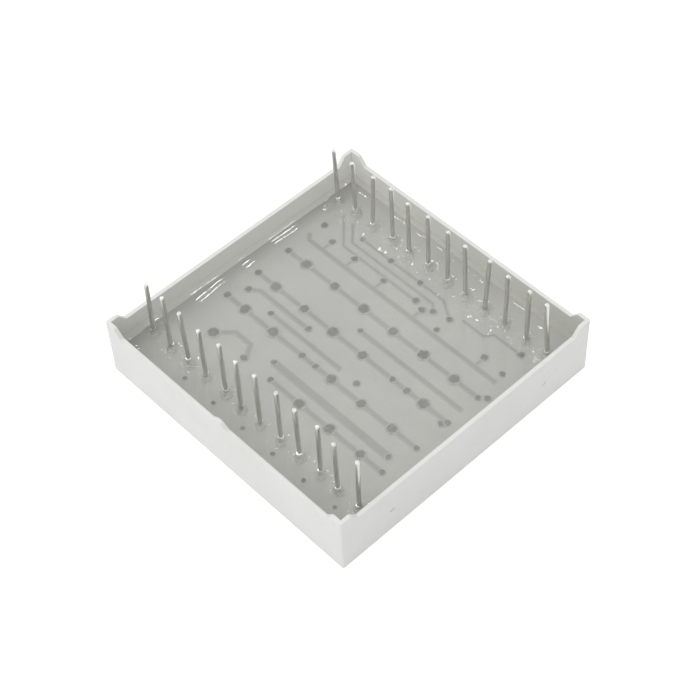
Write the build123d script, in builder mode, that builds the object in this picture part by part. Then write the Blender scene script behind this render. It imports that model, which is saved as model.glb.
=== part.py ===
"""Back-potted LED dot matrix display, 8 x 8 two-colour dots, with two rows of twelve pins.

The display lies on its face with the pins up.  The origin is the middle of the face, X runs along
the pin rows and Z runs from the face to the pin tips.  The marked long side is the -Y side.

From the face up: a moulded housing whose floor is a block of conical light cups, milky fills in
the cups, a circuit board that carries the chips over the cups, tracks and via plugs on its back,
pins soldered into it, and a layer of clear potting resin that creeps up the walls.
"""

import os
from math import atan, degrees, exp

from build123d import *

# ---- Driving sizes, in millimetres -------------------------------------------------------------

# Housing
housing_side = 31.7
corner_radius = 0.2
face_edge_chamfer = 0.15
block_depth = 2.0  # from the face to the seat of the circuit board
wall_at_seat = 0.65
wall_at_foot = 0.4
rim_height = 6.05
foot_rise = 0.95  # of the corner feet above the rim
foot_length = 1.3  # of a foot's flat top, from the corner along each wall
foot_ramp = 0.8
mark_height = 0.5  # of the pin 1 mark on the rim
mark_base = 2.0
mark_top = 0.6
dimple_radius = 0.3
dimple_depth = 0.1
dimple_inset = 6.05  # from the marked and the far faces
dimple_height = 3.0

# Dots
dot_count = 8  # each way
module_gap = 0.3  # between housings side by side, so that the dots' pitch of 4 mm runs on
dot_radius = 1.5  # of a cup at the face
cup_back_radius = 1.0  # of a cup at the board
cup_sides = 10
chip_side = 0.3
chip_height = 0.25
chip_spacing = 0.7  # between the red and the green chip of a dot

# Circuit board
board_clearance = 0.2  # to the wall at the seat
board_thickness = 1.0
copper_thickness = 0.05
plug_height = 0.05
large_plug_radius = 0.62
small_plug_radius = 0.36
large_plug_sides = 6
small_plug_sides = 4
row_track_width = 0.6
wide_track_width = 0.9
fine_track_width = 0.4

# Pins
pins_per_row = 12
pin_inset = 1.88  # of the corner pins from the end faces, which puts the pins 2.54 mm apart
row_inset = 3.85  # of the rows from the marked and the far faces, which puts them 24 mm apart
pin_radius = 0.225
pin_sides = 8  # of the pins, except the free ends of the four corner pins, which are round
pin_tip_height = 10.8
wetted_height = 2.0  # of solder and resin up the pins, from the back of the board
hole_clearance = 0.05
hole_sides = 6
solder_base_radius = 0.75
solder_top_radius = 0.3
solder_height = 1.4

# Potting resin
resin_thickness = 0.6  # over the back of the board
creep_height = 0.5  # of the resin's edge above its level
creep_reach = 1.6  # from the wall to where the resin is level
creep_edge = 0.05  # thickness of the resin's edge at the wall

# ---- Heights and places that follow -------------------------------------------------------------

foot_height = rim_height + foot_rise
draft = degrees(atan((wall_at_seat - wall_at_foot) / (foot_height - block_depth)))
cavity_side = housing_side - 2 * wall_at_seat
cup_taper = degrees(atan((dot_radius - cup_back_radius) / block_depth))
dimple_y = housing_side / 2 - dimple_inset
dot_pitch = (housing_side + module_gap) / dot_count
board_side = cavity_side - 2 * board_clearance
board_back = block_depth + board_thickness
copper_top = board_back + copper_thickness
plug_top = copper_top + plug_height
resin_level = board_back + resin_thickness
solder_taper = degrees(atan((solder_base_radius - solder_top_radius) / solder_height))

row_start = pin_inset - housing_side / 2
pin_pitch = -2 * row_start / (pins_per_row - 1)
row_y = housing_side / 2 - row_inset
row_xs = [row_start + pin_pitch * i for i in range(pins_per_row)]
pin_places = [(x, -row_y) for x in row_xs] + [(x, row_y) for x in reversed(row_xs)]


def cavity_width(height):
    """Width of the drafted cavity at a height."""
    slope = (wall_at_seat - wall_at_foot) / (foot_height - block_depth)
    return cavity_side + 2 * slope * (height - block_depth)


def save(builder, name):
    """Labels a finished piece and writes it to its own file."""
    builder.part.label = name
    export_step(builder.part, f"parts/{name}.step")


os.makedirs("parts", exist_ok=True)

# ---- Housing: one white moulding, open at the back ----------------------------------------------

with BuildPart() as housing:
    with BuildSketch():
        RectangleRounded(housing_side, housing_side, corner_radius)
    extrude(amount=foot_height)
    chamfer(housing.faces().sort_by(Axis.Z)[0].edges(), face_edge_chamfer)

    # The sides cut down to the rim between ramped corner feet
    notch_top = housing_side / 2 - foot_length
    notch_floor = notch_top - foot_ramp
    over = foot_height + foot_rise
    for side_plane in (Plane.XZ, Plane.YZ):
        with BuildSketch(side_plane):
            with BuildLine():
                Polyline(
                    (-notch_floor, rim_height),
                    (notch_floor, rim_height),
                    (notch_top, foot_height),
                    (notch_top, over),
                    (-notch_top, over),
                    (-notch_top, foot_height),
                    close=True,
                )
            make_face()
        extrude(amount=housing_side, both=True, mode=Mode.SUBTRACT)

    # Pin 1 mark: a small hump on the rim of the marked side
    with BuildSketch(Plane.XZ.offset(housing_side / 2)):
        with BuildLine():
            Polyline(
                (-mark_base / 2, rim_height),
                (mark_base / 2, rim_height),
                (mark_top / 2, rim_height + mark_height),
                (-mark_top / 2, rim_height + mark_height),
                close=True,
            )
        make_face()
    extrude(amount=-wall_at_seat)

    # Cavity, drafted so that the walls thin towards the rim
    with BuildSketch(Plane.XY.offset(block_depth)):
        Rectangle(cavity_side, cavity_side)
    extrude(amount=foot_height, taper=-draft, mode=Mode.SUBTRACT)

    # Two shallow dimples in the end wall
    with BuildSketch(Plane.YZ.offset(housing_side / 2)):
        with Locations((-dimple_y, dimple_height), (dimple_y, dimple_height)):
            RegularPolygon(dimple_radius, hole_sides)
    extrude(amount=-dimple_depth, mode=Mode.SUBTRACT)

    # Light cups, wide at the face
    with BuildSketch() as cup_mouths:
        with GridLocations(dot_pitch, dot_pitch, dot_count, dot_count):
            RegularPolygon(dot_radius, cup_sides)
    extrude(amount=block_depth, taper=cup_taper, mode=Mode.SUBTRACT)

save(housing, "housing")

# ---- Dot fills: milky epoxy in the cups, up to the chips ----------------------------------------

with BuildPart() as dot_lenses:
    add(cup_mouths.sketch)
    extrude(amount=block_depth - chip_height, taper=cup_taper)

save(dot_lenses, "dot_lenses")

# ---- Chips: one red and one green on the front of the board over each cup -----------------------

for colour, side in (("red", -1), ("green", 1)):
    with BuildPart() as chips:
        with BuildSketch(Plane.XY.offset(block_depth)):
            with GridLocations(dot_pitch, dot_pitch, dot_count, dot_count):
                with Locations((side * chip_spacing / 2, 0)):
                    Rectangle(chip_side, chip_side)
        extrude(amount=-chip_height)

    save(chips, f"{colour}_chips")

# ---- Circuit board: covers the floor of the housing, with a hole for each pin -------------------

with BuildPart() as circuit_board:
    with BuildSketch(Plane.XY.offset(block_depth)):
        Rectangle(board_side, board_side)
        with Locations(*pin_places):
            RegularPolygon(
                pin_radius + hole_clearance, hole_sides, major_radius=False, mode=Mode.SUBTRACT
            )
    extrude(amount=board_thickness)

save(circuit_board, "circuit_board")

# ---- Copper on the back of the board ------------------------------------------------------------
# Places on the board are in steps of a quarter of the dots' pitch, from its middle.  Row tracks
# run along the lines between the rows of dots and carry the large plugs.  The other tracks take
# the columns' small plugs along the board to the pins.

step = dot_pitch / 4


def on_board(places):
    """Places on the board, from steps to millimetres."""
    return [(x * step, y * step) for x, y in places]


row_lines = {row: 4 * row + 0.2 for row in (-2, -1, 0, 1)}
plug_columns = [4 * column - 10.25 for column in range(6)]
track_end = 12.8
bus_line = 6.6
stub_end = bus_line + 1.4

row_tracks = [[(-track_end, row_lines[row]), (track_end, row_lines[row])] for row in (-1, 0, 1)]
row_tracks += [
    [(-track_end - 0.3, bus_line + 0.7), (-track_end + 0.4, bus_line), (track_end, bus_line)],
    [(-0.5, 2.1), (track_end, 2.1)],
    [(-11.9, -1.9), (-10.9, -1.2), (-4.2, -1.2)],
    [(-8.1, -2.4), (1.6, -2.4)],
    [(plug_columns[0], row_lines[-2]), (-8.8, -6.3), (-6.7, -6.3), (-5.7, row_lines[-2])],
    [(-2.2, row_lines[-2]), (track_end, row_lines[-2])],
]
wide_tracks = [[(-3.5, -6.2), (11.7, -6.2)]]
fine_tracks = [
    [(-12.3, 11.2), (-9.4, 8.4), (0.6, 8.4)],
    [(-10.9, 11.1), (-9.1, 9.3), (2.0, 9.3), (2.7, 8.6)],
    [(-8.7, 10.3), (2.4, 10.3), (4.5, 9.0)],
    [(5.4, 9.8), (8.2, 9.8), (8.8, 10.6), (12.2, 10.6)],
]
stubs = (-10.6, -7.4, -3.4, 1.8, 10.0)
fine_tracks += [[(x, bus_line), (x, stub_end)] for x in stubs]

with BuildPart() as copper_tracks:
    with BuildSketch(Plane.XY.offset(board_back)):
        for tracks, width in (
            (row_tracks, row_track_width),
            (wide_tracks, wide_track_width),
            (fine_tracks, fine_track_width),
        ):
            for places in tracks:
                with BuildLine():
                    Polyline(*on_board(places))
                trace(line_width=width)
    extrude(amount=copper_thickness)

save(copper_tracks, "copper_tracks")

# ---- Via plugs: flat dots of silver paste, large on the row tracks and small elsewhere ----------

bare_crossings = {(5.75, 0), (-2.25, -1), (-6.25, -2), (-2.25, -2)}
large_plugs = [
    (x, y) for row, y in row_lines.items() for x in plug_columns if (x, row) not in bare_crossings
]
small_plugs = [(x, stub_end) for x in stubs]
small_plugs += [(side * track_end, row_lines[row]) for row in (-1, 0, 1) for side in (-1, 1)]
small_plugs += [(plug_columns[4], row_lines[0]), (plug_columns[4] + 1.9, row_lines[0])]
small_plugs += [(plug_columns[2], row_lines[-1]), (plug_columns[2] + 1.9, row_lines[-1])]
small_plugs += [(-5.9, row_lines[-2]), (-2.2, row_lines[-2]), (12.5, row_lines[-2])]
small_plugs += [(-0.5, 2.1), (-4.2, -1.2), (-11.9, -1.9), (-8.1, -2.4), (-3.5, -6.2), (11.7, -6.2)]
small_plugs += [(0.6, 8.4), (2.7, 8.6), (4.5, 9.0), (-8.7, 10.3), (-4.7, 10.3), (-0.7, 10.3), (12.2, 10.6)]

with BuildPart() as via_plugs:
    with BuildSketch(Plane.XY.offset(copper_top)):
        with Locations(*on_board(large_plugs)):
            RegularPolygon(large_plug_radius, large_plug_sides)
        with Locations(*on_board(small_plugs)):
            RegularPolygon(small_plug_radius, small_plug_sides)
    extrude(amount=plug_height)

save(via_plugs, "via_plugs")

# ---- Pins and their solder joints ---------------------------------------------------------------

with BuildPart() as solder_cone:
    with BuildSketch(Plane.XY.offset(board_back)):
        RegularPolygon(solder_base_radius, hole_sides)
    extrude(amount=solder_height, taper=solder_taper)

free_from = board_back + wetted_height
corner_pins = (1, pins_per_row, pins_per_row + 1, 2 * pins_per_row)
for number, place in enumerate(pin_places, start=1):
    with BuildPart() as pin:
        with BuildSketch(Plane.XY.offset(block_depth)):
            with Locations(place):
                RegularPolygon(pin_radius, pin_sides)
        if number in corner_pins:
            extrude(amount=free_from - block_depth)
            with BuildSketch(Plane.XY.offset(free_from)):
                with Locations(place):
                    Circle(pin_radius)
            extrude(amount=pin_tip_height - free_from)
        else:
            extrude(amount=pin_tip_height - block_depth)

    save(pin, f"pin_{number:02d}")

    with BuildPart() as solder_joint:
        with Locations(place):
            add(solder_cone.part)
        with BuildSketch(Plane.XY.offset(board_back)):
            with Locations(place):
                RegularPolygon(pin_radius, hole_sides, major_radius=False)
        extrude(amount=solder_height, mode=Mode.SUBTRACT)

    save(solder_joint, f"solder_joint_{number:02d}")

# ---- Potting resin: poured over the board, creeping up the walls --------------------------------


def creep(distance):
    """Height of the resin's surface at a distance from the wall."""
    if distance >= creep_reach:
        return resin_level
    return resin_level + creep_height * exp(-3 * distance / creep_reach)


with BuildPart() as resin_hollow:
    for distance in (creep_edge, 0.3 * creep_reach, creep_reach):
        height = creep(distance)
        width = cavity_width(height) - 2 * distance
        with BuildSketch(Plane.XY.offset(height)):
            Rectangle(width, width)
    loft(ruled=True)

with BuildPart() as potting_resin:
    with BuildSketch(Plane.XY.offset(block_depth)):
        Rectangle(cavity_side, cavity_side)
    extrude(amount=creep(creep_edge) - block_depth, taper=-draft)

    with BuildSketch(Plane.XY.offset(block_depth)):
        Rectangle(board_side, board_side)
    extrude(amount=plug_top - block_depth, mode=Mode.SUBTRACT)

    add(resin_hollow.part, mode=Mode.SUBTRACT)

    with Locations(*pin_places):
        add(solder_cone.part, mode=Mode.SUBTRACT)

save(potting_resin, "potting_resin")
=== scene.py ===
"""Finish, light and camera for the back-potted LED dot matrix display.

The display lies on its face with the pins up.  Lengths are written in millimetres and turned into
Blender's metres by MM.  The script follows the display as it is put together: housing, dots,
chips, circuit board, tracks, via plugs, pins, solder, potting resin, and then the studio.
"""

import random
from math import copysign, cos, exp, hypot, pi, radians, sin

import bmesh
import bpy
from mathutils import Matrix, Vector, noise


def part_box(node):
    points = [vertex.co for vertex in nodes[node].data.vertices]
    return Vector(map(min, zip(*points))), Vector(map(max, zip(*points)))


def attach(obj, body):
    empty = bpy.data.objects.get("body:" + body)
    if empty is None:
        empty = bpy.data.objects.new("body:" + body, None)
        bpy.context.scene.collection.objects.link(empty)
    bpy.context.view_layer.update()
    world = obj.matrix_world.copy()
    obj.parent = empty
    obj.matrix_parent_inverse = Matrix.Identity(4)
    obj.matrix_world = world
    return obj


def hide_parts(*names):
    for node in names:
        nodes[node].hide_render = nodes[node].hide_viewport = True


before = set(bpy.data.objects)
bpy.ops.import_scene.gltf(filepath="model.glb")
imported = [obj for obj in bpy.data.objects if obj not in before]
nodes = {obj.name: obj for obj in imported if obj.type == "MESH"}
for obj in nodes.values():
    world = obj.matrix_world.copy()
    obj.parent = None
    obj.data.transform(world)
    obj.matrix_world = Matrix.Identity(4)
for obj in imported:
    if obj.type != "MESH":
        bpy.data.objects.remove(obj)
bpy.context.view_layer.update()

MM = 0.001


# ---- Housing ------------------------------------------------------------------------------------
# One injection moulding in white plastic, open at the back.  Its floor is a block of conical light
# cups.  The face is printed with black ink around the dots; the walls keep the bare plastic outside,
# and inside carry a film of resin with painted shade of the cavity.

def put(tree, kind, inputs=(), **settings):
    """Adds a node. inputs maps a socket's name or number to a value or to a socket that feeds it."""
    made = tree.nodes.new(kind)
    for name, value in settings.items():
        setattr(made, name, value)
    for socket, value in dict(inputs).items():
        if isinstance(value, bpy.types.NodeSocket):
            tree.links.new(value, made.inputs[socket])
        else:
            made.inputs[socket].default_value = value
    return made


def reckon(tree, operation, first, second=0.0):
    """A sum of two numbers or sockets, or another operation on them."""
    return put(tree, "ShaderNodeMath", {0: first, 1: second}, operation=operation).outputs[0]


def ramp(tree, value, low, high, start=0.0, end=1.0):
    """A number that goes from start to end as a value goes from low to high."""
    return put(tree, "ShaderNodeMapRange",
               {"Value": value, 1: low, 2: high, 3: start, 4: end}).outputs[0]


def between(tree, share, start, end):
    """A number that goes from start to end as a share goes from 0 to 1."""
    return ramp(tree, share, 0.0, 1.0, start, end)


def grain(tree, where, size, low, high):
    """Noise of about a size in metres, stretched so that it runs from 0 to 1 between low and high."""
    cloud = put(tree, "ShaderNodeTexNoise", {"Vector": where, "Scale": 1 / size, "Detail": 3.0})
    return ramp(tree, cloud.outputs[0], low, high)


def blend_colours(tree, share, first, second):
    """The first colour where share is 0 and the second where it is 1."""
    mix = put(tree, "ShaderNodeMix", {0: share, 6: first, 7: second}, data_type="RGBA")
    return mix.outputs[2]


def finish_of(name):
    """A new material, as its tree, its Principled shader and the socket of its object coordinates."""
    material = bpy.data.materials.new(name)
    material.use_nodes = True
    tree = material.node_tree
    shader = tree.nodes["Principled BSDF"]
    where = put(tree, "ShaderNodeTexCoord").outputs["Object"]
    return material, tree, shader, where


def feed(tree, shader, colour, roughness, height, bump, distance=0.01 * MM):
    """Joins a colour, a roughness and a height for the bump to a shader."""
    tree.links.new(colour, shader.inputs["Base Color"])
    tree.links.new(roughness, shader.inputs["Roughness"])
    relief = put(tree, "ShaderNodeBump", {"Height": height, "Strength": bump, "Distance": distance})
    tree.links.new(relief.outputs[0], shader.inputs["Normal"])


ink_thickness = 0.012 * MM
film_and_shade_start, film_and_shade_end = 15.43 * MM, 15.50 * MM  # the resin film and its painted shade lie inside, and the outside is bare


def white_plastic():
    material, tree, shader, where = finish_of("white_plastic")
    mottle = grain(tree, where, 6 * MM, 0.35, 0.65)
    plastic = blend_colours(tree, mottle, (0.80, 0.80, 0.782, 1), (0.765, 0.765, 0.742, 1))
    speck = grain(tree, where, 0.5 * MM, 0.66, 0.72)
    plastic = blend_colours(tree, between(tree, speck, 0, 0.3), plastic, (0.56, 0.56, 0.53, 1))

    # A breath of resin on the inside of the walls, darkened further by painted shade of the cavity; the
    # painted shade deepens away from the back left corner
    axes = put(tree, "ShaderNodeSeparateXYZ", {0: where}).outputs
    across = put(tree, "ShaderNodeVectorMath", {0: where, 1: (1.4, -0.6, 0)}, operation="DOT_PRODUCT")
    film_and_shade_share = ramp(tree, across.outputs["Value"], -33 * MM, 27 * MM)
    # Painted shade: the inner walls' colour is darker than the bare plastic, partly a real resin film and
    # partly shade painted in
    film_and_shade = blend_colours(tree, film_and_shade_share, (0.80, 0.80, 0.765, 1), (0.53, 0.535, 0.49, 1))
    off_x = reckon(tree, "ABSOLUTE", axes["X"])
    off_y = reckon(tree, "ABSOLUTE", axes["Y"])
    outside = ramp(tree, reckon(tree, "MAXIMUM", off_x, off_y), film_and_shade_start, film_and_shade_end)
    plastic = blend_colours(tree, outside, film_and_shade, plastic)

    inked = reckon(tree, "LESS_THAN", axes["Z"], ink_thickness)
    ink = blend_colours(tree, mottle, (0.018, 0.019, 0.021, 1), (0.030, 0.031, 0.033, 1))
    fine = grain(tree, where, 0.12 * MM, 0.3, 0.7)
    colour = blend_colours(tree, inked, plastic, ink)
    feed(tree, shader, colour, between(tree, fine, 0.42, 0.56), fine, 0.25, 0.004 * MM)
    return material


weld_distance = 0.001 * MM
flat_angle = radians(0.5)  # faces closer to one plane than this become one face
touch = 0.01 * MM  # places closer together than this count as the same


def placed(name, data):
    """A new object in the scene."""
    piece = bpy.data.objects.new(name, data)
    bpy.context.scene.collection.objects.link(piece)
    return piece


def mesh_data(name, mesh):
    """Turns a working mesh into the mesh of a piece."""
    data = bpy.data.meshes.new(name)
    mesh.to_mesh(data)
    mesh.free()
    return data


def shade(data, sharp_degrees):
    """Smooth shading, with a hard edge wherever faces meet at more than an angle."""
    data.shade_smooth()
    data.set_sharp_from_angle(angle=radians(sharp_degrees))


def paint(piece, material):
    """Gives a piece one material."""
    piece.data.materials.clear()
    piece.data.materials.append(material)


def settle(piece, slot, *node_names):
    """Hands a finished piece over to the frame."""
    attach(piece, "root")
    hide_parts(*node_names)


def merged_copy(node_name, name):
    """A piece from a CAD node, with its doubles merged and its flat faces whole."""
    mesh = bmesh.new()
    mesh.from_mesh(nodes[node_name].data)
    bmesh.ops.remove_doubles(mesh, verts=mesh.verts, dist=weld_distance)
    bmesh.ops.dissolve_limit(mesh, angle_limit=flat_angle, verts=mesh.verts, edges=mesh.edges)
    return placed(name, mesh_data(name, mesh))


def lathe(name, profile, sides):
    """A closed solid of revolution about Z. profile has (radius, height) from its bottom to its top."""
    mesh = bmesh.new()
    turn = [2 * pi * k / sides for k in range(sides)]
    rings = [
        [mesh.verts.new((radius * cos(angle), radius * sin(angle), height)) for angle in turn]
        for radius, height in profile
    ]
    for lower, upper in zip(rings, rings[1:]):
        for k in range(sides):
            mesh.faces.new((lower[k - 1], lower[k], upper[k], upper[k - 1]))
    mesh.faces.new(rings[0][::-1])
    mesh.faces.new(rings[-1])
    bmesh.ops.recalc_face_normals(mesh, faces=mesh.faces)
    return bpy.data.objects.new(name, mesh_data(name, mesh))


def point_cloud(name, places):
    """An object whose loose vertices are the places where something repeats."""
    data = bpy.data.meshes.new(name)
    data.from_pydata([Vector(place) for place in places], [], [])
    return placed(name, data)


def open_tree(name, own_inputs):
    """Starts a Geometry Nodes tree, and returns it with the outputs of its inputs node."""
    tree = bpy.data.node_groups.new(name, "GeometryNodeTree")
    for title, kind in (("Geometry", "Geometry"), *own_inputs, ("Finish", "Material")):
        tree.interface.new_socket(name=title, in_out="INPUT", socket_type=f"NodeSocket{kind}")
    tree.interface.new_socket(name="Geometry", in_out="OUTPUT", socket_type="NodeSocketGeometry")
    return tree, put(tree, "NodeGroupInput").outputs


def close_tree(tree, geometry, finish):
    """Ends a Geometry Nodes tree: its instances become real and take the finish."""
    real = put(tree, "GeometryNodeRealizeInstances", {0: geometry})
    coated = put(tree, "GeometryNodeSetMaterial", {0: real.outputs[0], "Material": finish})
    put(tree, "NodeGroupOutput", {0: coated.outputs[0]})
    return tree


def repeat_tree():
    """Geometry Nodes: one shape on every point, with a little random lean and size."""
    tree, given = open_tree(
        "repeat_shape", [("Shape", "Object"), ("Lean", "Float"), ("Size Spread", "Float"), ("Seed", "Int")]
    )

    def chance(low, high, seed):
        return put(tree, "FunctionNodeRandomValue", {2: low, 3: high, "Seed": seed}).outputs[1]

    other_way = reckon(tree, "MULTIPLY", given["Lean"], -1.0)
    next_seed = reckon(tree, "ADD", given["Seed"], 1.0)
    lean_x = chance(other_way, given["Lean"], given["Seed"])
    lean_y = chance(other_way, given["Lean"], next_seed)
    spin = chance(0.0, 2 * pi, given["Seed"])
    lean = put(tree, "ShaderNodeCombineXYZ", {0: lean_x, 1: lean_y, 2: spin})
    smallest = reckon(tree, "SUBTRACT", 1.0, given["Size Spread"])
    largest = reckon(tree, "ADD", 1.0, given["Size Spread"])
    shape = put(tree, "GeometryNodeObjectInfo", {"Object": given["Shape"]})
    copies = put(tree, "GeometryNodeInstanceOnPoints",
                 {"Points": given["Geometry"], "Instance": shape.outputs["Geometry"],
                  "Rotation": lean.outputs[0], "Scale": chance(smallest, largest, given["Seed"])})
    return close_tree(tree, copies.outputs[0], given["Finish"])


def grown(base, tree, inputs, finish, sharp_degrees=35):
    """The mesh that a Geometry Nodes tree makes of a point cloud or a curve, in the base's place."""
    modifier = base.modifiers.new("grow", "NODES")
    modifier.node_group = tree
    for item in tree.interface.items_tree:
        if item.in_out == "INPUT" and item.name in inputs:
            modifier[item.identifier] = inputs[item.name]
    modifier[tree.interface.items_tree["Finish"].identifier] = finish
    graph = bpy.context.evaluated_depsgraph_get()
    data = bpy.data.meshes.new_from_object(base.evaluated_get(graph), depsgraph=graph)
    data.name = base.name
    shade(data, sharp_degrees)
    name = base.name
    bpy.data.objects.remove(base)
    if "Shape" in inputs:
        bpy.data.objects.remove(inputs["Shape"])
    return placed(name, data)


dots_per_side = 8
dot_pitch = 4.0 * MM
dot_rows = [(k - (dots_per_side - 1) / 2) * dot_pitch for k in range(dots_per_side)]
dot_places = [(x, y, 0) for y in dot_rows for x in dot_rows]
cup_radius_face, cup_radius_back = 1.5 * MM, 1.0 * MM
cup_sides = 48
solid_cup_sides = 12  # the cups of the solid housing are coarser
block_depth = 2.0 * MM
edge_round, edge_angle = 0.07 * MM, radians(28)
ramp_round, ramp_angle = 0.16 * MM, radians(20)
ramp_rise = 0.3  # both faces at a ramp's edge look upwards by more than this
repeat_shape = repeat_tree()


def in_a_cup(face):
    """Whether a face of the solid housing is part of the wall of a cup."""
    spots = [vert.co for vert in face.verts]
    return all(spot.z < block_depth + touch for spot in spots) and any(
        all(hypot(spot.x - x, spot.y - y) < cup_radius_face + touch for spot in spots)
        for x, y, _ in dot_places
    )


# The coarse cups are filled, so that fine ones can be cut after the edges are rounded
housing = merged_copy("housing", "moulded_housing")
shell = bmesh.new()
shell.from_mesh(housing.data)
bmesh.ops.delete(shell, geom=[face for face in shell.faces if in_a_cup(face)], context="FACES")
mouths = [edge for edge in shell.edges if edge.is_boundary]
bmesh.ops.holes_fill(shell, edges=mouths, sides=solid_cup_sides)
bmesh.ops.dissolve_limit(shell, angle_limit=flat_angle, verts=shell.verts, edges=shell.edges)
ramp_edges = shell.edges.layers.float.new("bevel_weight_edge")
for edge in shell.edges:
    if len(edge.link_faces) == 2 and edge.calc_face_angle() > ramp_angle:
        edge[ramp_edges] = float(all(face.normal.z > ramp_rise for face in edge.link_faces))
shell.to_mesh(housing.data)
shell.free()

round_ramps = housing.modifiers.new("round the ramps", "BEVEL")
round_ramps.width = ramp_round
round_ramps.segments = 4
round_ramps.limit_method = "WEIGHT"

round_edges = housing.modifiers.new("round the edges", "BEVEL")
round_edges.width = edge_round
round_edges.segments = 3
round_edges.limit_method = "ANGLE"
round_edges.angle_limit = edge_angle

cup_slope = (cup_radius_face - cup_radius_back) / block_depth
past = 0.5 * MM  # the cutter runs past the block at both ends
cutter_profile = [
    (cup_radius_face + cup_slope * past, -past),
    (cup_radius_back - cup_slope * past, block_depth + past),
]
cutters = grown(
    point_cloud("cups", dot_places), repeat_shape,
    {"Shape": lathe("cup", cutter_profile, cup_sides), "Lean": 0.0, "Size Spread": 0.0, "Seed": 1}, None,
)
carve = housing.modifiers.new("carve", "BOOLEAN")
carve.operation = "DIFFERENCE"
carve.object = cutters
carve.solver = "EXACT"
graph = bpy.context.evaluated_depsgraph_get()
housing.data = bpy.data.meshes.new_from_object(housing.evaluated_get(graph), depsgraph=graph)
housing.modifiers.clear()
bpy.data.objects.remove(cutters)
housing.data.name = "moulded_housing"
shade(housing.data, sharp_degrees=35)
paint(housing, white_plastic())
settle(housing, "white_plastic", "housing")


# ---- Dots ---------------------------------------------------------------------------------------
# Milky epoxy poured into the cups from the back against a film.  It spreads the light of the chips
# over the whole cup, and its face is flush with the print but for a slight sink as it cured.

def milky_epoxy():
    material, tree, shader, where = finish_of("milky_epoxy")
    cloud = grain(tree, where, 1.5 * MM, 0.3, 0.7)
    colour = blend_colours(tree, cloud, (0.80, 0.80, 0.77, 1), (0.87, 0.87, 0.845, 1))
    ripple = grain(tree, where, 0.6 * MM, 0.3, 0.7)
    feed(tree, shader, colour, between(tree, ripple, 0.16, 0.28), ripple, 0.3)
    shader.inputs["Subsurface Weight"].default_value = 0.3
    shader.inputs["Subsurface Radius"].default_value = (1.0, 1.0, 0.9)
    shader.inputs["Subsurface Scale"].default_value = 0.6 * MM
    return material


chip_height = 0.25 * MM
fill_back = block_depth - chip_height
shrinkage = 0.012 * MM  # the gap that the curing epoxy leaves at the wall of the cup
fill_profile = [
    (0.12 * cup_radius_face, 0.055 * MM),
    (0.55 * cup_radius_face, 0.045 * MM),
    (0.85 * cup_radius_face, 0.022 * MM),
    (cup_radius_face - shrinkage, 0.004 * MM),
    (cup_radius_face - cup_slope * fill_back - shrinkage, fill_back),
]
dot_fill = lathe("dot_fill", fill_profile, cup_sides)
dots = grown(
    point_cloud("dot_fills", dot_places), repeat_shape,
    {"Shape": dot_fill, "Lean": 0.0, "Size Spread": 0.0, "Seed": 2}, milky_epoxy(),
)
settle(dots, "milky_epoxy", "dot_lenses")


# ---- Chips --------------------------------------------------------------------------------------
# A red and a green light-emitting chip under each dot, sawn from crystal and bonded to the front
# of the board.  They are buried in the milky epoxy.

def sawn_chip(name, dark, light):
    material, tree, shader, where = finish_of(name)
    facet = grain(tree, where, 0.08 * MM, 0.35, 0.65)
    feed(tree, shader, blend_colours(tree, facet, dark, light), between(tree, facet, 0.2, 0.45), facet, 0.3)
    return material


paint(nodes["red_chips"], sawn_chip("red_chip", (0.42, 0.06, 0.05, 1), (0.62, 0.14, 0.11, 1)))
paint(nodes["green_chips"], sawn_chip("green_chip", (0.25, 0.40, 0.08, 1), (0.42, 0.58, 0.16, 1)))


# ---- Circuit board ------------------------------------------------------------------------------
# Resin and paper laminate with a pale lacquer on its back.  It sits on the floor of the housing,
# and resin fills the gap round it, which doesn't show: the lacquer reads right up to the walls.

board_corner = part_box("circuit_board")[1]
board_edge, board_back = board_corner.x, board_corner.z
filled_gap = 0.18 * MM
wall_slope = 0.05  # the walls lean outwards by this much for each unit of height


def lacquered_board():
    material, tree, shader, where = finish_of("lacquered_board")
    wide = grain(tree, where, 5 * MM, 0.35, 0.65)
    colour = blend_colours(tree, wide, (0.432, 0.435, 0.418, 1), (0.50, 0.502, 0.482, 1))
    fibres = put(tree, "ShaderNodeMapping", {"Vector": where, "Scale": (1, 4, 1)})
    paper = grain(tree, fibres.outputs[0], 0.6 * MM, 0.4, 0.75)
    colour = blend_colours(tree, between(tree, paper, 0, 0.5), colour, (0.40, 0.402, 0.384, 1))
    # Painted shade: the board is darker within about 1.4 mm of the left wall, where the wall and the resin
    # climbing it shade it
    x_along = put(tree, "ShaderNodeSeparateXYZ", {0: where}).outputs["X"]
    painted_wall_shade = ramp(tree, x_along, -13.6 * MM, -15.0 * MM)
    colour = blend_colours(tree, painted_wall_shade, colour, (0.33, 0.333, 0.315, 1))
    feed(tree, shader, colour, between(tree, paper, 0.45, 0.6), paper, 0.2)
    return material


board = merged_copy("circuit_board", "lacquered_circuit_board")
for vert in board.data.vertices:
    reach = filled_gap + wall_slope * (vert.co.z - block_depth)
    for axis in (0, 1):
        if abs(vert.co[axis]) > board_edge - touch:
            vert.co[axis] += copysign(reach, vert.co[axis])
paint(board, lacquered_board())
settle(board, "board", "circuit_board")


# ---- Tracks -------------------------------------------------------------------------------------
# Etched copper under the lacquer, so its edges look soft: the lacquer runs down from each track to
# the board.  The attribute "cover" is 1 on a track and falls to 0 across its border strip.

def lacquered_copper():
    material, tree, shader, where = finish_of("lacquered_copper")
    cover = put(tree, "ShaderNodeAttribute", attribute_name="cover").outputs["Fac"]
    wide = grain(tree, where, 5 * MM, 0.35, 0.65)
    copper = blend_colours(tree, wide, (0.265, 0.268, 0.254, 1), (0.33, 0.333, 0.317, 1))
    colour = blend_colours(tree, cover, (0.44, 0.442, 0.425, 1), copper)
    fine = grain(tree, where, 0.4 * MM, 0.3, 0.7)
    feed(tree, shader, colour, between(tree, fine, 0.4, 0.5), fine, 0.15)
    return material


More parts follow.
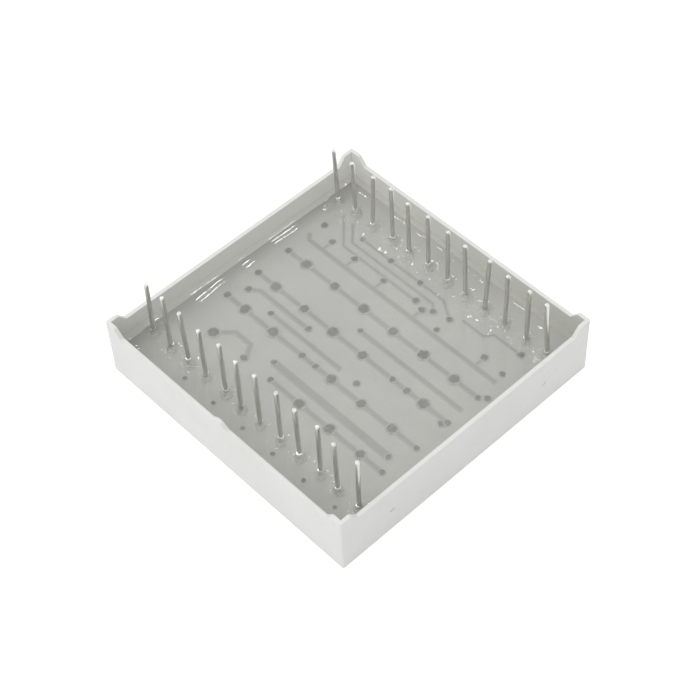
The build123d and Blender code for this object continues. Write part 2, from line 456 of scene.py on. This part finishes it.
soft_edge = 0.15 * MM
tracks = merged_copy("copper_tracks", "copper_tracks_lacquered")
copper_sheet = bmesh.new()
copper_sheet.from_mesh(tracks.data)
tops = [face for face in copper_sheet.faces if face.normal.z > 0.9]
bmesh.ops.inset_region(copper_sheet, faces=tops, thickness=soft_edge, use_even_offset=True)
cover_layer = copper_sheet.verts.layers.float.new("cover")
for face in tops:
    for vert in face.verts:
        vert[cover_layer] = 1.0
copper_sheet.to_mesh(tracks.data)
copper_sheet.free()
paint(tracks, lacquered_copper())
settle(tracks, "coated_copper", "copper_tracks")


# ---- Via plugs ----------------------------------------------------------------------------------
# Silver paste pressed through the holes of the board and left as flat round dots on its back.
# Large plugs stand on the row tracks, and small ones where the columns' tracks end.

def silver_paste():
    material, tree, shader, where = finish_of("silver_paste")
    cover = put(tree, "ShaderNodeAttribute", attribute_name="cover").outputs["Fac"]
    patchy = grain(tree, where, 0.35 * MM, 0.3, 0.7)
    ragged = ramp(tree, reckon(tree, "ADD", cover, between(tree, patchy, -0.3, 0.3)), 0.1, 0.9)
    wide = grain(tree, where, 4 * MM, 0.35, 0.65)
    paste = blend_colours(tree, wide, (0.10, 0.102, 0.094, 1), (0.17, 0.172, 0.16, 1))
    colour = blend_colours(tree, ragged, (0.43, 0.432, 0.415, 1), paste)
    feed(tree, shader, colour, between(tree, patchy, 0.5, 0.7), patchy, 0.3)
    return material


def islands(node_name):
    """The middle and the reach in X of each separate solid of a node."""
    mesh = bmesh.new()
    mesh.from_mesh(nodes[node_name].data)
    bmesh.ops.remove_doubles(mesh, verts=mesh.verts, dist=weld_distance)
    left, found = set(mesh.verts), []
    while left:
        group, front = set(), [left.pop()]
        while front:
            vert = front.pop()
            group.add(vert)
            for edge in vert.link_edges:
                other = edge.other_vert(vert)
                if other in left:
                    left.remove(other)
                    front.append(other)
        low = Vector([min(vert.co[axis] for vert in group) for axis in range(3)])
        high = Vector([max(vert.co[axis] for vert in group) for axis in range(3)])
        found.append(((low + high) / 2, (high - low).x / 2))
    mesh.free()
    return sorted(found, key=lambda item: tuple(item[0]))


rim_share, fading = 1.1, 0.5  # where the paste ends and over how much of its radius it fades
plug_sides = 24


def paste_plug(name, radius):
    """A flat dot that thins towards its rim, with the attribute "cover" falling from 1 to 0 there."""
    profile = [
        (rim_share * radius, -0.04 * MM),
        (rim_share * radius, 0.002 * MM),
        (0.94 * radius, 0.01 * MM),
        (0.78 * radius, 0.022 * MM),
        (0.62 * radius, 0.03 * MM),
        (0.3 * radius, 0.024 * MM),
    ]
    plug = lathe(name, profile, plug_sides)
    cover = plug.data.attributes.new("cover", "FLOAT", "POINT")
    for vert in plug.data.vertices:
        share = hypot(vert.co.x, vert.co.y) / radius
        cover.data[vert.index].value = min(max((rim_share - share) / fading, 0), 1)
    return plug


# Plugs that the solid board leaves out, in millimetres: a few odd ones, and a row behind the marked side
extra_small = [(12.5, 7.75), (4.5, 7.25), (3.75, -2.5), (13.5, 4.75), (12.5, -0.25), (-12.75, 9.0)]
extra_pinhole = [(4.05 * k + 0.1, -13.3) for k in range(-2, 4)]
small_limit = 0.5 * MM
plug_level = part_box("via_plugs")[0].z
plug_finish = silver_paste()
plug_islands = islands("via_plugs")
large_plugs = [middle for middle, reach in plug_islands if reach > small_limit]
small_plugs = [middle for middle, reach in plug_islands if reach <= small_limit]
for size_name, radius, moulded, extra in (
    ("large", 0.60 * MM, large_plugs, []),
    ("small", 0.38 * MM, small_plugs, extra_small),
    ("pinhole", 0.24 * MM, [], extra_pinhole),
):
    middles = moulded + [Vector((x * MM, y * MM, plug_level)) for x, y in extra]
    plug = paste_plug(f"{size_name}_plug", radius)
    plugs = grown(
        point_cloud(f"{size_name}_via_plugs", middles), repeat_shape,
        {"Shape": plug, "Lean": 0.0, "Size Spread": 0.12, "Seed": 3}, plug_finish,
    )
    settle(plugs, "silver_paste", "via_plugs")


# ---- Pins ---------------------------------------------------------------------------------------
# Cut lengths of round tinned wire, pushed through the board and soldered.  Each has been knocked a
# little out of line, so the tips wander about their grid.

def tinned_wire():
    material, tree, shader, where = finish_of("tinned_wire")
    drawn = put(tree, "ShaderNodeMapping", {"Vector": where, "Scale": (1, 1, 0.12)})
    streak = grain(tree, drawn.outputs[0], 0.2 * MM, 0.35, 0.65)
    colour = blend_colours(tree, streak, (0.60, 0.60, 0.565, 1), (0.70, 0.70, 0.67, 1))
    feed(tree, shader, colour, between(tree, streak, 0.30, 0.38), streak, 0.02, 0.002 * MM)
    shader.inputs["Metallic"].default_value = 1.0
    return material


def wire_tree():
    """Geometry Nodes: round wire along curves, whose radius at each point scales the wire."""
    tree, given = open_tree("round_wire", [("Wire Radius", "Float"), ("Sides", "Int")])
    section = put(tree, "GeometryNodeCurvePrimitiveCircle",
                  {"Resolution": given["Sides"], "Radius": given["Wire Radius"]})
    thickness = put(tree, "GeometryNodeInputRadius")
    wire = put(tree, "GeometryNodeCurveToMesh",
               {"Curve": given["Geometry"], "Profile Curve": section.outputs[0],
                "Scale": thickness.outputs[0], "Fill Caps": True})
    return close_tree(tree, wire.outputs[0], given["Finish"])


def wander(reach):
    """A chance step in X and Y, no further than a reach each way."""
    return Vector((random.uniform(-reach, reach), random.uniform(-reach, reach), 0))


pin_numbers = range(1, 25)
pin_names = [f"pin_{number:02d}" for number in pin_numbers]
wire_radius, wire_sides = 0.225 * MM, 20
foot_wander, tip_wander = 0.12 * MM, 0.2 * MM
# Each station of a pin: its share of the height, its share of the lean, and the wire's thickness.
# The foot stands straight in the solder, and the cut end is rounded.
pin_stations = [
    (0.0, 0.0, 1), (0.12, 0.0, 1), (0.3, 0.1, 1), (0.6, 0.5, 1), (0.9, 0.88, 1),
    (0.975, 0.972, 1), (0.986, 0.986, 0.98), (0.996, 0.996, 0.9), (1.0, 1.0, 0.7),
]
random.seed(11)

wires = bpy.data.curves.new("tinned_pins", "CURVE")
wires.dimensions = "3D"
pin_places, foot_places = [], []
for pin_name in pin_names:
    low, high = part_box(pin_name)
    middle = (low + high) / 2
    foot = Vector((middle.x, middle.y, low.z)) + wander(foot_wander)
    tip = Vector((middle.x, middle.y, high.z)) + wander(tip_wander)
    pin_places.append(middle)
    foot_places.append(foot)
    spline = wires.splines.new("POLY")
    spline.points.add(len(pin_stations) - 1)
    for point, (height, lean, thickness) in zip(spline.points, pin_stations):
        side = foot.lerp(tip, lean)
        point.co = (side.x, side.y, low.z + height * (high.z - low.z), 1)
        point.radius = thickness
pins = grown(
    placed("tinned_pins", wires), wire_tree(),
    {"Wire Radius": wire_radius, "Sides": wire_sides}, tinned_wire(), sharp_degrees=50,
)
settle(pins, "tinned_wire", *pin_names)


# ---- Solder joints ------------------------------------------------------------------------------
# Bright solder at the foot of every pin.  It wetted a ring of copper on the board, was drawn up
# the wire, and froze as a cone with hollow sides.

def reflowed_solder():
    material, tree, shader, where = finish_of("reflowed_solder")
    grainy = grain(tree, where, 0.15 * MM, 0.35, 0.65)
    colour = blend_colours(tree, grainy, (0.84, 0.84, 0.81, 1), (0.93, 0.93, 0.91, 1))
    feed(tree, shader, colour, between(tree, grainy, 0.18, 0.30), grainy, 0.35)
    shader.inputs["Metallic"].default_value = 1.0
    return material


joint_names = [f"solder_joint_{number:02d}" for number in pin_numbers]
joint_base, joint_top, joint_height = 0.46 * MM, 0.26 * MM, 1.30 * MM
joint_steps, joint_sides = 8, 24
hollow = 2.4  # how hollow the sides are, where 1 is a straight cone
sunk = 0.05 * MM  # how far the cone runs on into the board and past its top
joint_profile = [(joint_base, -sunk)]
for k in range(joint_steps + 1):
    up = k / joint_steps
    radius = joint_top + (joint_base - joint_top) * (1 - up) ** hollow
    joint_profile.append((radius, up * joint_height))
joint_profile.append((0.6 * joint_top, joint_height + sunk))
joint = lathe("solder_cone", joint_profile, joint_sides)
joints = grown(
    point_cloud("solder_joints", [(foot.x, foot.y, board_back) for foot in foot_places]), repeat_shape,
    {"Shape": joint, "Lean": radians(3), "Size Spread": 0.08, "Seed": 4}, reflowed_solder(),
)
settle(joints, "solder", *joint_names)


# ---- Potting resin ------------------------------------------------------------------------------
# Clear epoxy poured over the back of the board.  It wets what it touches, so it curves up the four
# walls and up every pin, and it set in gentle waves.

def clear_resin():
    material, tree, shader, where = finish_of("clear_resin")
    cloud = grain(tree, where, 5 * MM, 0.35, 0.65)
    colour = blend_colours(tree, cloud, (0.85, 0.853, 0.83, 1), (0.81, 0.814, 0.785, 1))
    smooth = grain(tree, where, 2 * MM, 0.3, 0.7)
    feed(tree, shader, colour, between(tree, smooth, 0.03, 0.05), smooth, 0.05)
    shader.inputs["Transmission Weight"].default_value = 0.84
    shader.inputs["IOR"].default_value = 1.5
    shader.inputs["Specular IOR Level"].default_value = 1.0

    # Light on its way to the board passes as through thin air, so the board isn't left in the dark
    rays = put(tree, "ShaderNodeLightPath").outputs
    passing = reckon(tree, "MAXIMUM", rays["Is Shadow Ray"], rays["Is Diffuse Ray"])
    open_air = put(tree, "ShaderNodeBsdfTransparent", {"Color": (0.95, 0.95, 0.93, 1)})
    mixed = put(tree, "ShaderNodeMixShader", {0: passing, 1: shader.outputs[0], 2: open_air.outputs[0]})
    tree.links.new(mixed.outputs[0], tree.nodes["Material Output"].inputs["Surface"])
    return material


resin_level = board_back + 0.6 * MM
resin_base = board_back - 0.05 * MM
resin_side = 15.30 * MM  # where the resin meets the walls
resin_edge = 15.36 * MM  # the sheet runs on a little into the walls
left_creep, back_creep, side_creep = 2.0 * MM, 1.6 * MM, 1.3 * MM
lip_height, lip_width = 0.30 * MM, 0.10 * MM
calm_height, wave_height = 0.030 * MM, 0.04 * MM
left_wave_length, left_wave_crest = 6.9 * MM, 0.2 * MM
back_wave_length = 4.6 * MM
wrinkle_height, wrinkle_size = 0.105 * MM, 0.85 * MM
ripple_height, ripple_size = 0.052 * MM, 0.45 * MM
collar_height, collar_width = 0.36 * MM, 0.12 * MM
swell_height, swell_width = 0.20 * MM, 0.42 * MM
fold_height, fold_width, fold_size = 0.13 * MM, 0.6 * MM, 0.26 * MM
foot_reach = 1.6 * MM
# Strips of wrinkles, each with its place in Y, its width and its strength: round the back row of
# pins, along the back wall, and behind the front row
wrinkled_strips = [
    (11.1 * MM, 1.0 * MM, 1.0), (resin_side - 1.2 * MM, 0.5 * MM, 0.2), (-11.7 * MM, 0.9 * MM, 0.3)
]
random.seed(5)
creeps = [(random.uniform(0.7, 1.3), random.uniform(0.8, 1.25)) for foot in foot_places]


def unevenness(x, y, size, seed):
    """Chance from -1 to 1 that varies over about a size in metres."""
    return noise.noise(Vector((x / size, y / size, seed)))


def ridge(distance, width):
    """1 on a line, falling to nearly 0 at two widths from it."""
    return exp(-(distance / width) ** 2)


def wall_creep(distance, width, curl):
    """Rise of the resin near a wall: a slope that grows evenly from a width off it, then a steep lip."""
    gentle = 0.5 * curl * max(width - distance, 0) ** 2 / MM
    return gentle + lip_height * exp(-max(distance, 0) / lip_width)


def resin_height(x, y):
    """Height of the resin's surface at a place: the sum of its calm level and all that rises on it."""
    height = resin_level + calm_height * unevenness(x, y, 4.5 * MM, seed=0)

    # Up the walls.  The creep on the left one widens towards the front.
    from_left, from_right = x + resin_side, resin_side - x
    from_front, from_back = y + resin_side, resin_side - y
    left_uneven = 1 + 0.02 * unevenness(x, y, 5 * MM, seed=7)
    uneven = 1 + 0.10 * unevenness(x, y, 2.6 * MM, seed=4)
    height += wall_creep(from_left, (left_creep - 0.03 * y) * left_uneven, curl=0.2)
    height += wall_creep(from_right, side_creep * uneven, curl=0.3)
    height += wall_creep(from_front, side_creep * uneven, curl=0.3)
    height += wall_creep(from_back, back_creep * uneven, curl=0.25)

    # A long wave along the left wall and a shorter one along the back
    left_wave = cos(2 * pi * (y - left_wave_crest) / left_wave_length)
    back_wave = cos(2 * pi * x / back_wave_length) + unevenness(x, y, 3 * MM, seed=6)
    height += wave_height * left_wave * ridge(from_left, left_creep)
    height += wave_height * back_wave * ridge(from_back, back_creep)

    # Wrinkles, with smaller ripples on them
    wrinkled = sum(strength * ridge(y - place, width) for place, width, strength in wrinkled_strips)
    height += wrinkle_height * wrinkled * unevenness(x, y, wrinkle_size, seed=1)
    height += ripple_height * wrinkled * unevenness(x, y, ripple_size, seed=8)

    # Up the pins
    for foot, (tall, wide) in zip(foot_places, creeps):
        if abs(x - foot.x) < foot_reach and abs(y - foot.y) < foot_reach:
            gap = max(hypot(x - foot.x, y - foot.y) - wire_radius, 0)
            height += collar_height * tall * exp(-gap / collar_width)
            height += swell_height * tall * ridge(gap, swell_width * wide)
            height += fold_height * ridge(gap, fold_width) * unevenness(x, y, fold_size, seed=3)
    return height


def stations(pin_lines):
    """Places across the sheet, close together near the walls and the pins and wider apart elsewhere."""
    closest, widest, near = 0.05 * MM, 0.2 * MM, 0.45 * MM
    marks = [-resin_side] + sorted(pin_lines) + [resin_side]
    places = [-resin_edge]
    while places[-1] < resin_edge:
        away = min(abs(places[-1] - mark) for mark in marks)
        places.append(places[-1] + min(closest + 0.25 * max(away - near, 0), widest))
    places[-1] = resin_edge
    return places


columns = stations({place.x for place in pin_places})
rows = stations({place.y for place in pin_places})
sheet = bmesh.new()
grid = [[sheet.verts.new((x, y, resin_height(x, y))) for x in columns] for y in rows]
for near_row, far_row in zip(grid, grid[1:]):
    for k in range(1, len(columns)):
        sheet.faces.new((near_row[k - 1], near_row[k], far_row[k], far_row[k - 1]))
border = [edge for edge in sheet.edges if edge.is_boundary]
skirt = bmesh.ops.extrude_edge_only(sheet, edges=border)["geom"]
for part in skirt:
    if isinstance(part, bmesh.types.BMVert):
        part.co.z = resin_base
open_edges = [edge for edge in sheet.edges if edge.is_boundary]
bmesh.ops.holes_fill(sheet, edges=open_edges, sides=0)
bmesh.ops.recalc_face_normals(sheet, faces=sheet.faces)
resin = placed("potted_resin", mesh_data("potted_resin", sheet))
shade(resin.data, sharp_degrees=75)
paint(resin, clear_resin())
settle(resin, "clear_resin", "potting_resin")


# ---- Studio -------------------------------------------------------------------------------------
# A wide pale table, a soft even room, a broad soft lamp in front, and small lamps whose reflections
# run along the resin's edges and sparkle at the pins' feet.  Table and lamps are in metres.

def seen_directly(tree, rays):
    """1 for what the camera sees by itself, in a reflection or through the resin, and otherwise 0."""
    direct = reckon(tree, "MAXIMUM", rays["Is Camera Ray"], rays["Is Glossy Ray"])
    return reckon(tree, "MAXIMUM", direct, rays["Is Transmission Ray"])


table_glow, table_reach = 0.45, 1.5
table_level = -0.02 * MM  # just under the face, so that the two never lie in one plane
touching_distance = 0.1 * MM


def studio_floor():
    material, tree, shader, where = finish_of("studio_floor")
    tree.nodes.remove(shader)
    cloth = grain(tree, where, 40 * MM, 0.3, 0.7)
    colour = blend_colours(tree, cloth, (0.88, 0.88, 0.88, 1), (0.90, 0.90, 0.90, 1))
    matte = put(tree, "ShaderNodeBsdfDiffuse", {"Color": colour})
    rays = put(tree, "ShaderNodeLightPath").outputs
    lift = reckon(tree, "MULTIPLY", seen_directly(tree, rays), table_glow)
    glow = put(tree, "ShaderNodeEmission", {"Color": (1, 1, 1, 1), "Strength": lift})
    both = put(tree, "ShaderNodeAddShader", {0: matte.outputs[0], 1: glow.outputs[0]})

    # Open from underneath and where the display touches it, so that the face is lit from below
    underneath = put(tree, "ShaderNodeNewGeometry").outputs["Backfacing"]
    touching = reckon(tree, "LESS_THAN", rays["Ray Length"], touching_distance)
    window = reckon(tree, "MAXIMUM", underneath, touching)
    open_air = put(tree, "ShaderNodeBsdfTransparent")
    glazed = put(tree, "ShaderNodeMixShader", {0: window, 1: both.outputs[0], 2: open_air.outputs[0]})
    tree.links.new(glazed.outputs[0], tree.nodes["Material Output"].inputs["Surface"])
    return material


corners = [
    (x * table_reach, y * table_reach, table_level) for x, y in ((-1, -1), (1, -1), (1, 1), (-1, 1))
]
table = bpy.data.meshes.new("table")
table.from_pydata(corners, [], [(0, 1, 2, 3)])
floor = placed("studio_table", table)
paint(floor, studio_floor())

room_light, room_white = 0.71, 1.0
world = bpy.data.worlds.new("room")
bpy.context.scene.world = world
world.use_nodes = True
room = world.node_tree
seen = seen_directly(room, put(room, "ShaderNodeLightPath").outputs)
background = room.nodes["Background"].inputs
background["Color"].default_value = (1, 1, 1, 1)
room.links.new(between(room, seen, room_light, room_white), background["Strength"])


def lamp(name, towards, distance, width, length, power):
    """An area lamp in a direction from the display, pointing at it. Its length runs along Y."""
    axis = Vector(towards).normalized()
    along = (Vector((0, 1, 0)) - axis * axis.y).normalized()
    light = bpy.data.lights.new(name, "AREA")
    light.shape = "RECTANGLE"
    light.size, light.size_y = width, length
    light.energy = power
    piece = placed(name, light)
    piece.matrix_world = Matrix((along.cross(axis), along, axis)).transposed().to_4x4()
    piece.location = axis * distance


lamp("front_softbox", (0.12, -0.63, 0.64), distance=0.85, width=0.5, length=0.5, power=1.25)
small_lamp_distance = 0.8
for name, towards, width, length, power in (
    ("first_edge_lamp", (-0.18, 0.40, 0.90), 0.022, 0.045, 0.065),
    ("second_edge_lamp", (-0.32, 0.40, 0.86), 0.022, 0.040, 0.055),
    ("wall_edge_lamp", (0.11, 0.414, 0.90), 0.05, 0.05, 0.14),
    ("far_edge_lamp", (-0.46, 0.62, 0.635), 0.065, 0.065, 0.22),
    ("near_edge_lamp", (-0.468, 0.21, 0.858), 0.028, 0.028, 0.032),
    ("low_pin_lamp", (-0.81, 0.07, 0.57), 0.13, 0.13, 0.5),
    ("high_pin_lamp", (-0.675, -0.24, 0.70), 0.13, 0.13, 0.5),
):
    lamp(name, towards, small_lamp_distance, width, length, power)


# ---- Camera -------------------------------------------------------------------------------------
# From the corner between the marked side and the dimpled side, looking down at about 51 degrees.
# A long lens from a short step back, a little tilted, so that the pins lean slightly in the frame.

azimuth, elevation, tilt = radians(48.6), radians(51.3), radians(-3.0)
camera_distance = 168 * MM
aim = Vector((0.6, -0.3, 3.5)) * MM
camera_side = Vector((sin(azimuth) * cos(elevation), -cos(azimuth) * cos(elevation), sin(elevation)))
eye = aim + camera_distance * camera_side
view = bpy.data.cameras.new("camera")
view.lens = 92.5
view.sensor_width = 36.0
view.clip_start = 10 * MM
camera = placed("camera", view)
turn = (aim - eye).to_track_quat("-Z", "Y").to_matrix() @ Matrix.Rotation(tilt, 3, "Z")
camera.matrix_world = Matrix.Translation(eye) @ turn.to_4x4()
bpy.context.scene.camera = camera
bpy.context.scene.view_settings.view_transform = "Standard"
